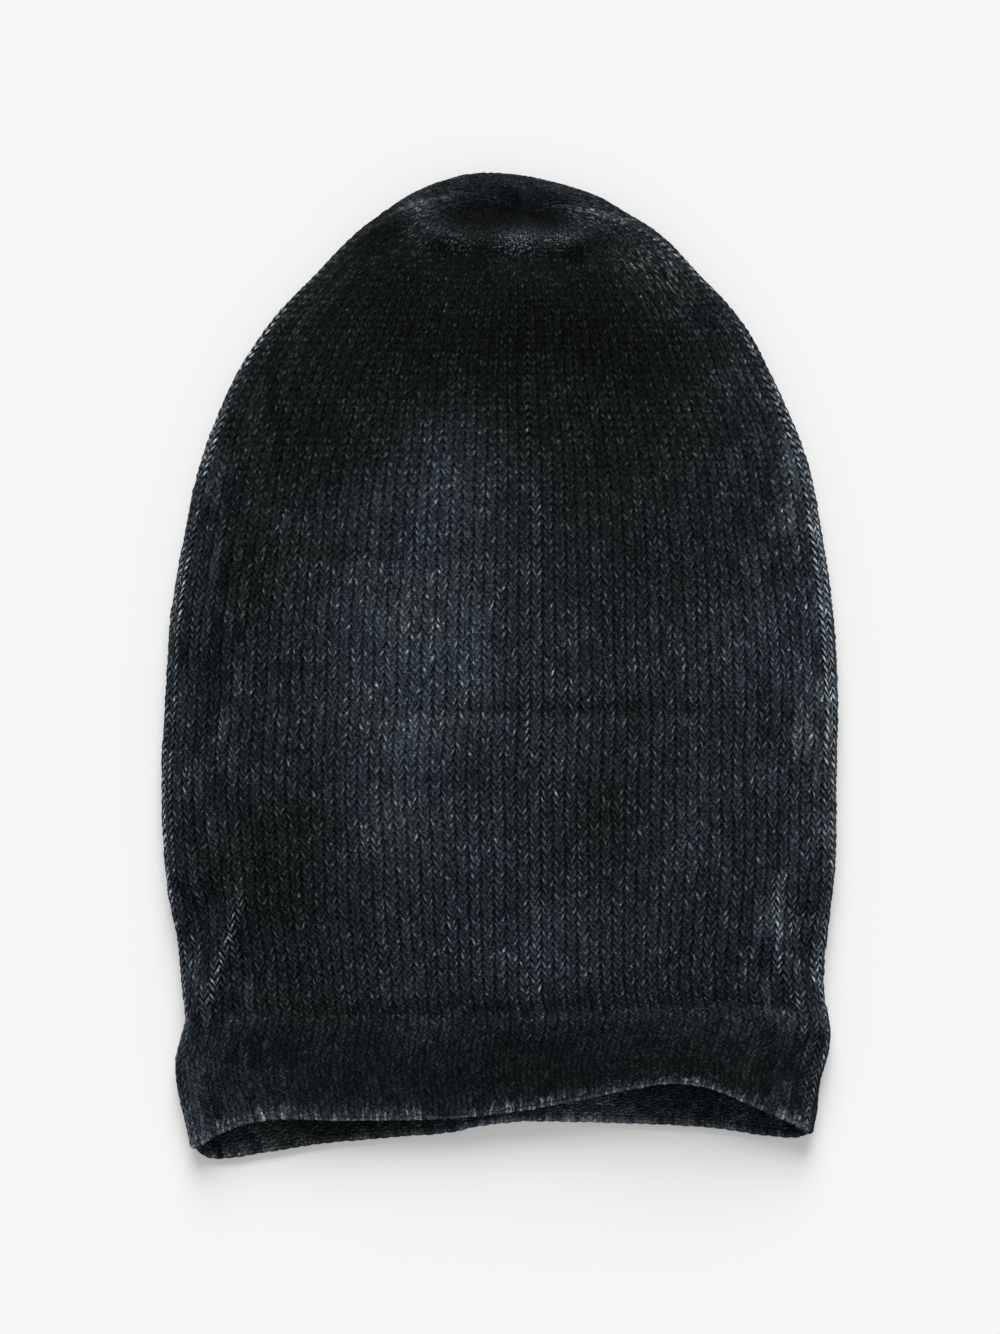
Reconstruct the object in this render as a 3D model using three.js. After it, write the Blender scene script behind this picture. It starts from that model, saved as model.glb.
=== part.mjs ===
// A slouchy knitted beanie lying flat on its back wall, in millimetres.
// X runs across the hat, Y from the rim to the gathered crown, and Z up from the surface it lies on.
// Y is measured from the rim's mean line while the shape is worked out, and the finished group is centred.
import * as THREE from "three";

// The knit and its pieces
const WALL = 2.6;
const HALF_GAP = 0.2;
const HEM_LINE = 41.7;
const CROWN_LINE = 283;
const INSIDE_TOP = 301;

// How the lying hat rounds over at its side folds and at its top edge
const FOLD_HEIGHT = 4.2;
const FOLD_REACH = 5.5;
const FOLD_TOP = 3.6;
const TOP_EDGE = 316.2;
const PUFF_POWER = 2.2;
const PUFF_ROUNDING = 0.9;
const FRONT_STARTS = 0.2;
const FRONT_FULL = 1.7;

// One row for each cross-section: its place, its reach to the left and right of the middle, and its height
const SECTIONS = [
  { y: 0, left: 101.1, right: 101.9, height: 8.2 },
  { y: 8.5, left: 103.0, right: 103.3, height: 10.4 },
  { y: 16.3, left: 105.0, right: 104.0, height: 12.8 },
  { y: 26.1, left: 106.0, right: 106.6, height: 15.6 },
  { y: 33.9, left: 104.3, right: 107.6, height: 17.6 },
  { y: 39.8, left: 102.7, right: 106.9, height: 18.8 },
  { y: 45.6, left: 103.3, right: 105.6, height: 20.0 },
  { y: 55.4, left: 104.2, right: 105.3, height: 22.4 },
  { y: 65.2, left: 105.3, right: 106.3, height: 24.6 },
  { y: 78.2, left: 107.9, right: 107.9, height: 26.8 },
  { y: 91.3, left: 109.5, right: 109.2, height: 28.2 },
  { y: 117.4, left: 110.5, right: 109.5, height: 29.6 },
  { y: 143.4, left: 109.2, right: 109.9, height: 30.0 },
  { y: 169.5, left: 107.6, right: 108.6, height: 29.4 },
  { y: 195.6, left: 103.3, right: 105.0, height: 28.0 },
  { y: 221.7, left: 97.5, right: 99.8, height: 26.0 },
  { y: 247.8, left: 87.0, right: 89.0, height: 23.6 },
  { y: 267.3, left: 74.3, right: 78.2, height: 21.4 },
  { y: 283.0, left: 59.5, right: 63.9, height: 19.2 },
  { y: 294.7, left: 48.2, right: 52.5, height: 17.2 },
  { y: 302.5, left: 38.1, right: 40.4, height: 15.2 },
  { y: 307.7, left: 30.3, right: 31.3, height: 13.4 },
  { y: 311.0, left: 23.5, right: 21.5, height: 11.6 },
  { y: 313.2, left: 18.4, right: 14.6, height: 9.8 },
  { y: 314.8, left: 13.4, right: 7.6, height: 8.2 },
  { y: 315.8, left: 8.6, right: 0.6, height: 6.6 },
];

// Where the rim of the front wall and of the back wall runs, as a shift in Y along X,
// and how far the front is lifted
const FRONT_RIM = [
  { x: -100.9, shift: -2.3, lift: 0 },
  { x: -97.0, shift: -0.4, lift: 0 },
  { x: -92.0, shift: 2.6, lift: 0 },
  { x: -84.0, shift: 5.8, lift: 0 },
  { x: -74.0, shift: 7.6, lift: 0.2 },
  { x: -50.0, shift: 7.2, lift: 0.4 },
  { x: -18.0, shift: 7.8, lift: 0.4 },
  { x: 4.0, shift: 10.1, lift: 0.8 },
  { x: 25.0, shift: 14.0, lift: 2.8 },
  { x: 42.0, shift: 17.9, lift: 5.2 },
  { x: 56.0, shift: 19.9, lift: 6.4 },
  { x: 68.0, shift: 18.4, lift: 6.0 },
  { x: 82.0, shift: 12.4, lift: 3.6 },
  { x: 94.0, shift: 7.0, lift: 1.2 },
  { x: 101.7, shift: 2.6, lift: 0 },
];
const BACK_RIM = [
  { x: -100.9, shift: -2.3 },
  { x: -97.8, shift: -5.2 },
  { x: -91.3, shift: -6.4 },
  { x: -77.6, shift: -5.2 },
  { x: -60.0, shift: -2.6 },
  { x: -32.6, shift: 0 },
  { x: -17.0, shift: 1.4 },
  { x: -6.5, shift: 4.4 },
  { x: 10.0, shift: 6.0 },
  { x: 45.6, shift: 5.2 },
  { x: 68.0, shift: 3.6 },
  { x: 86.0, shift: 0.9 },
  { x: 97.0, shift: 0.6 },
  { x: 101.7, shift: 2.6 },
];
const RIM_BEND_REACH = 50;
const RIM_BEND_POWER = 1.15;
const RIM_LIFT_REACH = 62;

// Folds and dents of the front wall: a line from one point to the next, its half width,
// and how far it stands proud
const FRONT_FOLDS = [
  { name: "hem_groove_left", from: [-98, 41.7], to: [0, 41.5], half: 2.4, height: -1.3 },
  { name: "hem_groove_right", from: [0, 41.5], to: [104, 43.5], half: 2.4, height: -1.3 },
  { name: "left_hem_fold", from: [-98, 43], to: [-85, 78], half: 5.5, height: 3.2 },
  { name: "left_hem_hollow", from: [-101, 58], to: [-97, 76], half: 4.5, height: -1.6 },
  { name: "right_hem_fold", from: [103, 37], to: [88, 68], half: 5.5, height: 3.2 },
  { name: "right_hem_hollow", from: [101, 56], to: [98, 72], half: 4.5, height: -1.4 },
  { name: "middle_crease", from: [-29, 139.5], to: [72, 139.0], half: 2.6, height: -0.8 },
  { name: "left_slack", from: [-62, 98], to: [-48, 190], half: 26, height: -1.6 },
  { name: "right_slack", from: [52, 120], to: [46, 230], half: 24, height: -1.4 },
  { name: "crown_dent_left", from: [-10, 301.5], to: [8, 303.5], half: 7.0, height: -3.4 },
  { name: "crown_dent_right", from: [8, 303.5], to: [24, 301.0], half: 6.5, height: -3.4 },
  { name: "crown_ridge_left", from: [-31, 303], to: [-20, 293.5], half: 4.2, height: 1.6 },
  { name: "crown_ridge_middle", from: [-20, 293.5], to: [24, 291.5], half: 4.2, height: 1.9 },
  { name: "crown_ridge_right", from: [24, 291.5], to: [43, 300], half: 4.2, height: 1.6 },
];

// Pleats where the crown is drawn together
const PLEATS = 9;
const PLEAT_HEIGHT = 0.9;
const PLEATS_START = 288;
const PLEATS_FULL = 306;

// Where the seam lies across the front, as a share of the half width
const SEAM_SHARE = 0.12;

// How finely the shape is divided: points round it, closer at the side folds, and rows along each piece
const AROUND = 64;
const FOLD_CROWDING = 0.6;
const FOLD_TURN = 0.22;
const QUARTER_TURN = 0.25;
const SECTION_STEPS = 360;
const NORMAL_STEP = 0.6;
const NORMAL_TURN = 0.003;
const HEM_ROWS = [{ to: HEM_LINE, outer: 10, inner: 4 }];
const BODY_ROWS = [
  { to: 80, outer: 8, inner: 3 },
  { to: 133, outer: 4, inner: 2 },
  { to: 146, outer: 4, inner: 1 },
  { to: CROWN_LINE, outer: 11, inner: 6 },
];
const CROWN_OUTER_ROWS = 12;
const CROWN_INNER_ROWS = 4;
const REACH_HALVINGS = 40;

function smoothStep(value, low, high) {
  const share = Math.min(1, Math.max(0, (value - low) / (high - low)));
  return share * share * (3 - 2 * share);
}

// A smooth curve through one column of a table, along another column
function column(rows, along, value, name) {
  const last = rows.length - 1;
  if (value <= rows[0][along]) return rows[0][name];
  if (value >= rows[last][along]) return rows[last][name];
  let i = 0;
  while (rows[i + 1][along] < value) i += 1;
  const slope = (k) => {
    const before = rows[Math.max(0, k - 1)];
    const after = rows[Math.min(last, k + 1)];
    return (after[name] - before[name]) / (after[along] - before[along]);
  };
  const span = rows[i + 1][along] - rows[i][along];
  const t = (value - rows[i][along]) / span;
  const t2 = t * t;
  const t3 = t2 * t;
  return (2 * t3 - 3 * t2 + 1) * rows[i][name] + (t3 - 2 * t2 + t) * span * slope(i)
    + (3 * t2 - 2 * t3) * rows[i + 1][name] + (t3 - t2) * span * slope(i + 1);
}

// Each section's distance from the rim along the outline, the measure that the sections are spaced by
function measureSections() {
  let reach = 0;
  SECTIONS.forEach((row, i) => {
    if (i > 0) {
      const before = SECTIONS[i - 1];
      const width = (row.left + row.right - before.left - before.right) / 2;
      reach += Math.hypot(width, row.y - before.y);
    }
    row.reach = reach;
  });
  return reach;
}
const FULL_REACH = measureSections();

// The distance along the outline at which a section lies at height y up the hat
function reachAt(y) {
  let low = 0;
  let high = FULL_REACH;
  for (let i = 0; i < REACH_HALVINGS; i += 1) {
    const middle = (low + high) / 2;
    if (column(SECTIONS, "reach", middle, "y") < y) low = middle;
    else high = middle;
  }
  return (low + high) / 2;
}

// How far a fold of the front wall lifts or dents the point x, y
function foldHeight(fold, x, y) {
  const [x0, y0] = fold.from;
  const dx = fold.to[0] - x0;
  const dy = fold.to[1] - y0;
  const share = Math.min(1, Math.max(0, ((x - x0) * dx + (y - y0) * dy) / (dx * dx + dy * dy)));
  const away = Math.hypot(x - x0 - share * dx, y - y0 - share * dy) / fold.half;
  return fold.height * Math.exp(-away * away);
}

// One point of a section: share runs from -1 to 1 across it, on the front wall or on the back wall
function sectionPoint(section, share, front) {
  const middle = (section.right - section.left) / 2;
  const half = (section.right + section.left) / 2;
  const x = middle + half * share;
  const edge = Math.min(1, Math.abs(share));
  const reach = Math.min(1, FOLD_REACH / half);
  const inside = Math.max(0, edge - (1 - reach)) / reach;
  const round = Math.sqrt(1 - inside * inside);
  let z;
  if (front) {
    const top = Math.min(FOLD_TOP, section.height - FOLD_HEIGHT);
    const puff = Math.pow(1 - Math.pow(edge, PUFF_POWER), PUFF_ROUNDING);
    z = FOLD_HEIGHT + top * round + (section.height - FOLD_HEIGHT - top) * puff;
    for (const fold of FRONT_FOLDS) {
      z += foldHeight(fold, x, section.y) * round;
    }
  } else {
    z = section.under + (FOLD_HEIGHT - section.under) * (1 - round);
  }
  const above = z - section.under;
  const frontness = smoothStep(above, FRONT_STARTS * FOLD_HEIGHT, FRONT_FULL * FOLD_HEIGHT);
  const backShift = column(BACK_RIM, "x", x, "shift");
  const frontShift = column(FRONT_RIM, "x", x, "shift");
  const shift = backShift + (frontShift - backShift) * frontness;
  const bend = Math.pow(Math.max(0, 1 - section.y / RIM_BEND_REACH), RIM_BEND_POWER);
  const lift = column(FRONT_RIM, "x", x, "lift") * smoothStep(section.y, RIM_LIFT_REACH, 0);
  return new THREE.Vector3(x, section.y + shift * bend, z + (front ? lift * frontness : 0));
}

// The closed section at one distance along the outline,
// with its points spread evenly round it from the front seam
function evenSection(reach) {
  const section = {
    y: column(SECTIONS, "reach", reach, "y"),
    left: column(SECTIONS, "reach", reach, "left"),
    right: column(SECTIONS, "reach", reach, "right"),
    height: column(SECTIONS, "reach", reach, "height"),
  };
  const intoEdge = Math.min(1, Math.max(0, 1 - (TOP_EDGE - section.y) / FOLD_REACH));
  section.under = FOLD_HEIGHT * (1 - Math.sqrt(1 - intoEdge * intoEdge));
  const start = Math.asin(SEAM_SHARE);
  const line = [];
  for (let i = 0; i <= SECTION_STEPS; i += 1) {
    const turn = start + (2 * Math.PI * i) / SECTION_STEPS;
    line.push(sectionPoint(section, Math.sin(turn), Math.cos(turn) >= 0));
  }
  const length = [0];
  for (let i = 1; i < line.length; i += 1) {
    length.push(length[i - 1] + line[i].distanceTo(line[i - 1]));
  }
  const total = length[SECTION_STEPS];
  return (around) => {
    const wanted = (around - Math.floor(around)) * total;
    let i = 0;
    while (length[i + 1] < wanted) i += 1;
    const share = (wanted - length[i]) / (length[i + 1] - length[i]);
    return line[i].clone().lerp(line[i + 1], share);
  };
}

// The share of the way round at which a ring's point lies, with the points crowded at the two side folds
function placeAround(i) {
  const share = i / AROUND;
  const fromFold = share - FOLD_TURN + QUARTER_TURN;
  return share + (FOLD_CROWDING * Math.sin(4 * Math.PI * fromFold)) / (4 * Math.PI);
}

// A ring of the outer surface, or of the inner surface when it is set in by the wall
function ring(reach, inset) {
  const low = Math.max(0, reach - NORMAL_STEP);
  const high = Math.min(FULL_REACH, reach + NORMAL_STEP);
  const here = evenSection(reach);
  const before = evenSection(low);
  const after = evenSection(high);
  const y = column(SECTIONS, "reach", reach, "y");
  const pleats = smoothStep(y, PLEATS_START, PLEATS_FULL) * PLEAT_HEIGHT;
  const points = [];
  for (let i = 0; i < AROUND; i += 1) {
    const around = placeAround(i);
    const across = here(around + NORMAL_TURN).sub(here(around - NORMAL_TURN));
    const upward = after(around).sub(before(around));
    const normal = across.cross(upward).normalize();
    const pleat = pleats * Math.cos(2 * Math.PI * PLEATS * around) * Math.max(0, normal.z);
    points.push(here(around).addScaledVector(normal, pleat - inset));
  }
  return points;
}

// Rings from one place up the hat through each stretch of rows, evenly spaced within a stretch
function rings(yFrom, stretches, side, inset) {
  let from = reachAt(yFrom);
  const made = [ring(from, inset)];
  for (const stretch of stretches) {
    const to = reachAt(stretch.to);
    for (let i = 1; i <= stretch[side]; i += 1) {
      made.push(ring(from + ((to - from) * i) / stretch[side], inset));
    }
    from = to;
  }
  return made;
}

// Draws an end ring back from the neighbouring piece
function drawBack(points, distance) {
  points.forEach((point) => {
    point.y += distance;
  });
}

// Collects points and faces of one closed body
class Body {
  constructor() {
    this.points = [];
    this.faces = [];
  }

  addRing(points) {
    const first = this.points.length;
    this.points.push(...points);
    return points.map((_, i) => first + i);
  }

  band(lower, upper, flipped) {
    for (let i = 0; i < AROUND; i += 1) {
      const next = (i + 1) % AROUND;
      const pairs = [[lower[i], lower[next], upper[next]], [lower[i], upper[next], upper[i]]];
      pairs.forEach((corners) => this.faces.push(...(flipped ? corners.reverse() : corners)));
    }
  }

  fan(ringIds, flipped) {
    const middle = new THREE.Vector3();
    ringIds.forEach((id) => middle.add(this.points[id]));
    middle.divideScalar(ringIds.length);
    const centre = this.points.length;
    this.points.push(middle);
    for (let i = 0; i < AROUND; i += 1) {
      const pair = [ringIds[i], ringIds[(i + 1) % AROUND]];
      if (flipped) pair.reverse();
      this.faces.push(pair[0], pair[1], centre);
    }
  }

  bands(loops, flipped) {
    for (let i = 1; i < loops.length; i += 1) {
      this.band(loops[i - 1], loops[i], flipped);
    }
  }

  geometry() {
    const geometry = new THREE.BufferGeometry().setFromPoints(this.points);
    geometry.setIndex(this.faces);
    geometry.computeVertexNormals();
    return geometry;
  }
}

// A tube of knit from one place up the hat through its stretches of rows, open at both ends
function knitTube(yFrom, stretches, gapBefore) {
  const body = new Body();
  const outer = rings(yFrom, stretches, "outer", 0);
  const inner = rings(yFrom, stretches, "inner", WALL);
  [outer, inner].forEach((loops) => {
    drawBack(loops[0], gapBefore);
    drawBack(loops[loops.length - 1], -HALF_GAP);
  });
  const outerIds = outer.map((points) => body.addRing(points));
  const innerIds = inner.map((points) => body.addRing(points));
  body.bands(outerIds, false);
  body.bands(innerIds, true);
  body.band(innerIds[0], outerIds[0], false);
  body.band(innerIds[innerIds.length - 1], outerIds[outerIds.length - 1], true);
  return body.geometry();
}

// The crown: a tube of knit whose outside draws together at the top edge, and whose inside closes below it
function gatheredCrown() {
  const body = new Body();
  const lastSection = SECTIONS[SECTIONS.length - 1].y;
  const outer = rings(CROWN_LINE, [{ to: lastSection, outer: CROWN_OUTER_ROWS }], "outer", 0);
  const inner = rings(CROWN_LINE, [{ to: INSIDE_TOP, inner: CROWN_INNER_ROWS }], "inner", WALL);
  drawBack(outer[0], HALF_GAP);
  drawBack(inner[0], HALF_GAP);
  const outerIds = outer.map((points) => body.addRing(points));
  const innerIds = inner.map((points) => body.addRing(points));
  body.bands(outerIds, false);
  body.bands(innerIds, true);
  body.band(innerIds[0], outerIds[0], false);
  body.fan(outerIds[CROWN_OUTER_ROWS], false);
  body.fan(innerIds[CROWN_INNER_ROWS], true);
  return body.geometry();
}

// The same dyed cotton knit, a little paler or darker on each piece
function knitMaterial(color) {
  return new THREE.MeshStandardMaterial({ color, roughness: 0.95, metalness: 0 });
}

function knitPiece(name, geometry, color) {
  const mesh = new THREE.Mesh(geometry, knitMaterial(color));
  mesh.name = name;
  return mesh;
}

const hat = new THREE.Group();
hat.add(
  knitPiece("hem_band", knitTube(0, HEM_ROWS, 0), 0x171b1e),
  knitPiece("knit_body", knitTube(HEM_LINE, BODY_ROWS, HALF_GAP), 0x1f2428),
  knitPiece("crown_gather", gatheredCrown(), 0x1a1f23),
);

// The origin is at the middle of the hat's outline, on the surface that it lies on
const box = new THREE.Box3().setFromObject(hat);
const centre = box.getCenter(new THREE.Vector3());
hat.position.set(-centre.x, -centre.y, -box.min.z);

export default hat;
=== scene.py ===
# The looks of a slouchy knitted beanie lying flat on its back wall, with a floor, a light and a camera.
# The tables and the shape functions are in millimetres, with Y measured from the rim's mean line.
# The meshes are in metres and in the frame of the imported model.
import math

import bpy
import numpy as np
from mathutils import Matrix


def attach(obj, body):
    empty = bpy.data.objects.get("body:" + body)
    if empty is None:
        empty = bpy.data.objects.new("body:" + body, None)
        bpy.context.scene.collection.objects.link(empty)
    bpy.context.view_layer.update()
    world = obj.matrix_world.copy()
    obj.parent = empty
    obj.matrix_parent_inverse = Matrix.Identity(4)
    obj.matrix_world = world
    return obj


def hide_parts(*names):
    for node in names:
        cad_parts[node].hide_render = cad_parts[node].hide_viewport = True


MM = 0.001

# How far the bake's layout stays from its picture's edges
BAKE_MARGIN = 0.002


def table(names, rows):
    """The named columns of a short table."""
    return dict(zip(names.split(), np.array(rows, float).T))


# The knit and its pieces
WALL = 2.6
HEM_LINE = 41.7
CROWN_LINE = 283
INSIDE_TOP = 301

# How the lying hat rounds over at its side folds and at its top edge
FOLD_HEIGHT = 4.2
FOLD_REACH = 5.5
FOLD_TOP = 3.6
TOP_EDGE = 316.2
PUFF_POWER = 2.2
PUFF_ROUNDING = 0.9
FRONT_STARTS = 0.2
FRONT_FULL = 1.7

# One row for each cross-section: its place, how far it reaches to each side, and its height
SECTIONS = table("y left right height", [
    (0, 101.1, 101.9, 8.2),
    (8.5, 103, 103.3, 10.4),
    (16.3, 105, 104, 12.8),
    (26.1, 106, 106.6, 15.6),
    (33.9, 104.3, 107.6, 17.6),
    (39.8, 102.7, 106.9, 18.8),
    (45.6, 103.3, 105.6, 20),
    (55.4, 104.2, 105.3, 22.4),
    (65.2, 105.3, 106.3, 24.6),
    (78.2, 107.9, 107.9, 26.8),
    (91.3, 109.5, 109.2, 28.2),
    (117.4, 110.5, 109.5, 29.6),
    (143.4, 109.2, 109.9, 30),
    (169.5, 107.6, 108.6, 29.4),
    (195.6, 103.3, 105, 28),
    (221.7, 97.5, 99.8, 26),
    (247.8, 87, 89, 23.6),
    (267.3, 74.3, 78.2, 21.4),
    (283, 59.5, 63.9, 19.2),
    (294.7, 48.2, 52.5, 17.2),
    (302.5, 38.1, 40.4, 15.2),
    (307.7, 30.3, 31.3, 13.4),
    (311, 23.5, 21.5, 11.6),
    (313, 17.6, 14, 9.8),
    (314.3, 12.6, 7.4, 8.2),
    (315, 8, 0.6, 6.6),
])

# Where the two walls' rims run, as a shift in Y along X, and how far the front one is lifted
FRONT_RIM = table("x shift lift", [
    (-100.9, -2.3, 0),
    (-97, -0.4, 0),
    (-92, 2.6, 0),
    (-84, 5.8, 0),
    (-74, 7.6, 0.2),
    (-50, 7.2, 0.4),
    (-18, 7.8, 0.4),
    (4, 10.1, 0.8),
    (25, 14, 2.8),
    (42, 17.9, 5.2),
    (56, 19.9, 6.4),
    (68, 18.4, 6),
    (82, 12.4, 3.6),
    (94, 7, 1.2),
    (101.7, 2.6, 0),
])
BACK_RIM = table("x shift", [
    (-100.9, -2.3),
    (-97.8, -4.8),
    (-91.3, -5.8),
    (-77.6, -3.8),
    (-60, -1),
    (-32.6, 1.6),
    (-17, 2.8),
    (-6.5, 5.2),
    (10, 6.6),
    (45.6, 5.8),
    (68, 4.6),
    (86, 2),
    (97, 1.2),
    (101.7, 2.6),
])
RIM_BEND_REACH = 50
RIM_BEND_POWER = 1.15
RIM_LIFT_REACH = 62

# The front wall's folds and dents: a line's ends, its half width, and how proud it stands
FRONT_FOLDS = table("x0 y0 x1 y1 half height", [
    (-98, 41.7, 0, 41.5, 3.4, -0.55),
    (0, 41.5, 104, 43.5, 3.4, -0.55),
    (-98, 43, -85, 78, 5.5, 3.2),
    (-101, 58, -97, 76, 4.5, -1.6),
    (103, 37, 88, 68, 5.5, 3.2),
    (101, 56, 98, 72, 4.5, -1.4),
    (-29, 139.5, 72, 139, 2.6, -0.55),
    (-62, 98, -48, 190, 26, -1.6),
    (52, 120, 46, 230, 24, -1.4),
    (-10, 301.5, 8, 303.5, 7, -2.6),
    (8, 303.5, 24, 301, 6.5, -2.8),
    (-31, 303, -20, 293.5, 4.2, 1.6),
    (-20, 293.5, 24, 291.5, 4.2, 1.9),
    (24, 291.5, 43, 300, 4.2, 1.6),
])

# Pleats where the crown is drawn together
PLEATS = 9
PLEAT_HEIGHT = 0.4
PLEATS_START = 288
PLEATS_FULL = 306

# Where the crown's wales meet, how softly they turn there, and how short of it they stop
GATHER_X = 8
GATHER_Y = 301
GATHER_EASE = 0.2
GATHER_HOLE = 0.8

# The seam: its place as a share of the half width, its groove, over how many wales it straightens them,
# and how many rows into the crown it starts to fade
SEAM_SHARE = 0.12
SEAM_DEPTH = 0.5
SEAM_HALF = 0.6
SEAM_STRAIGHTENS = 3
SEAM_FADES = 4

# How finely the shape is sampled before the stitches are laid on it
TURN_STEPS = 1080
AROUND_STEPS = 960
SLICES = 560
CLOSING_SLICES = 8
NORMAL_STEPS = 2

# Where the tables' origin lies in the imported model's frame
SHIFT = np.array([0.197, -154.885, 0])

# How many stitches go round, which wales lie on the side folds, and each piece's rows
WALES = 116
RIGHT_FOLD_WALE = 26
LEFT_FOLD_WALE = 83
HEM_ROWS = 17
BODY_ROWS = 97
CROWN_ROWS = 20
CROWN_FROM = HEM_ROWS + BODY_ROWS
ALL_ROWS = CROWN_FROM + CROWN_ROWS
ROW_NUMBERS = np.arange(ALL_ROWS + 1)

# The rows over which the hem's knit turns into the body's, and that into flatter knit
HEM_TO_BODY = (HEM_ROWS - 10, HEM_ROWS + 7)
UPPER_ROWS = (HEM_ROWS + 50, HEM_ROWS + 82)

# Past which Y the rows are spaced by the outline and by Y alike, and each one's share
CROWN_MIX_START = 262
CROWN_MIX = 0.5

# How far the rows curve up towards the sides below the crown, and over which Y
SMILE = 3.6
SMILE_STARTS = (225, 285)
SMILE_ENDS = (316, 296)
SMILE_LEVEL = 0.35

# How far a row of legs slants across a stitch, less in narrow wales and higher up
FULL_WALE = 3.9
SLANT = 2.3
SLANT_LESS = 0.9
SLANT_LEAST = 0.2
SLANT_MEAN = 0.25
SLANT_ENDS = 1.2

# The stitches' depth, its share below the smooth surface, and its shares where they are flatter
STITCH_DEPTH = 0.72
STITCH_LEAST = 0.3
STITCH_LEVEL = 0.7
HEM_FLATTER = 0.32
UPPER_FLATTER = 0.5

# The shape of a leg in shares of its stitch, and how unevenly tight the legs are
LEG_HALF = 0.52
LEG_TAPER = 0.08
LEG_TAPERS_FROM = 0.4
LEG_MIDDLE = 0.42
LEG_REACH = 0.6
TIGHT_SEED = 17
TIGHT_SPREAD = 0.25

# How the rows step from one stack of legs to the next, and how a place's stack is rounded
LEG_STAGGER = 0.18
STAGGER_TURN = 3.883
STAGGER_DRIFT = 0.23
UPPER_STEADIER = 0.2
LEG_DIGITS = 3

# Smooth unevenness: a seed, an amount, and the waves' length along each of two coordinates
ROW_WANDER = (11, 0.16, (14, 18))
ROW_WOBBLE = (15, 0.11, (2.6, 4.5))
WALE_WANDER = (12, 0.14, (9, 26))
WALE_WOBBLE = (16, 0.08, (2.4, 3.2))
SLACK = (14, 0.45, (46, 60))
DOTS_UNEVEN = (19, 0.5, (300, 50))
LINKS_UNEVEN = (21, 0.08, (2.3, 5))
FROST_UNEVEN = (22, 0.5, (9, 60))

# The waves' number, stretch and gain, and over how many rows from the rim they grow
WAVES = 7
WAVE_STRETCH = (0.7, 1.5)
WAVE_GAIN = 1.6
SETTLED_ROWS = 2

# Loose fibres, as the most that a point lies in or out
LINT_SEED = 18
LINT = 0.15

# How far up the surface faces where it is flatter, slack or fibrous, and down where it is pressed
FLATTER_FACING = (0.2, 0.9)
SLACK_FACING = (0.3, 0.9)
LINT_FACING = (-0.5, 0.2)
PRESSED_FACING = (0.2, 0.8)

# Facing further down than this, no stitch stands out of the smooth surface
BACK_FACING = -0.5

# The purl side: how its rows bend, how deep its bumps are, a ridge's least height, how deep in the wall
# it starts, and from how many points a row there are two
PURL_BEND = 0.16
PURL_DEPTH = 0.75
PURL_LEVEL = 0.45
PURL_SUNK = 0.15
FINE_ROWS = 4

# The bound-off edge: its place and radius, its points, how far it rolls, and its slanting links
RIM_IN = 0.8
RIM_RADIUS = 1.5
RIM_STEPS = 9
RIM_PER_WALE = 8
RIM_LOOK = 1.5
RIM_TURN = 1.12
RIM_TURN_START = 0.06
LINK_SLANT = 0.8
LINK_HALF = 0.54
LINK_THIN = 0.78
LINK_THICKER = 0.34
PRESSED_THINNER = 0.12

# The drawn-in middle of the crown
TIP_ROWS = 3
TIP_CLOSED = 0.97
TIP_CREST = 0.3

# This puts the back wall out of reach when a place of the front is looked for
BACK_AWAY = 100


def ease(value, low, high):
    """0 at low and 1 at high, soft at both ends."""
    share = np.clip((value - low) / (high - low), 0, 1)
    return share * share * (3 - 2 * share)


def unit(vectors):
    return vectors / np.linalg.norm(vectors, axis=2, keepdims=True)


def curve(rows, along, value, name):
    """A smooth curve through one column of a table, along another."""
    x = rows[along]
    y = rows[name]
    slope = np.empty_like(y)
    slope[1:-1] = (y[2:] - y[:-2]) / (x[2:] - x[:-2])
    slope[0] = (y[1] - y[0]) / (x[1] - x[0])
    slope[-1] = (y[-1] - y[-2]) / (x[-1] - x[-2])
    value = np.clip(value, x[0], x[-1])
    i = np.clip(np.searchsorted(x, value, side="right") - 1, 0, len(x) - 2)
    span = x[i + 1] - x[i]
    t = (value - x[i]) / span
    t2 = t * t
    t3 = t2 * t
    start = (2 * t3 - 3 * t2 + 1) * y[i] + (t3 - 2 * t2 + t) * span * slope[i]
    end = (3 * t2 - 2 * t3) * y[i + 1] + (t3 - t2) * span * slope[i + 1]
    return start + end


def along_lines(rows, x, y):
    """The sum of the soft lines of a table at the points x, y."""
    total = np.zeros(np.broadcast(x, y).shape)
    for x0, y0, x1, y1, half, amount in zip(*rows.values()):
        dx = x1 - x0
        dy = y1 - y0
        share = np.clip(((x - x0) * dx + (y - y0) * dy) / (dx * dx + dy * dy), 0, 1)
        away = np.hypot(x - x0 - share * dx, y - y0 - share * dy) / half
        total += amount * np.exp(-away * away)
    return total


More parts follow.
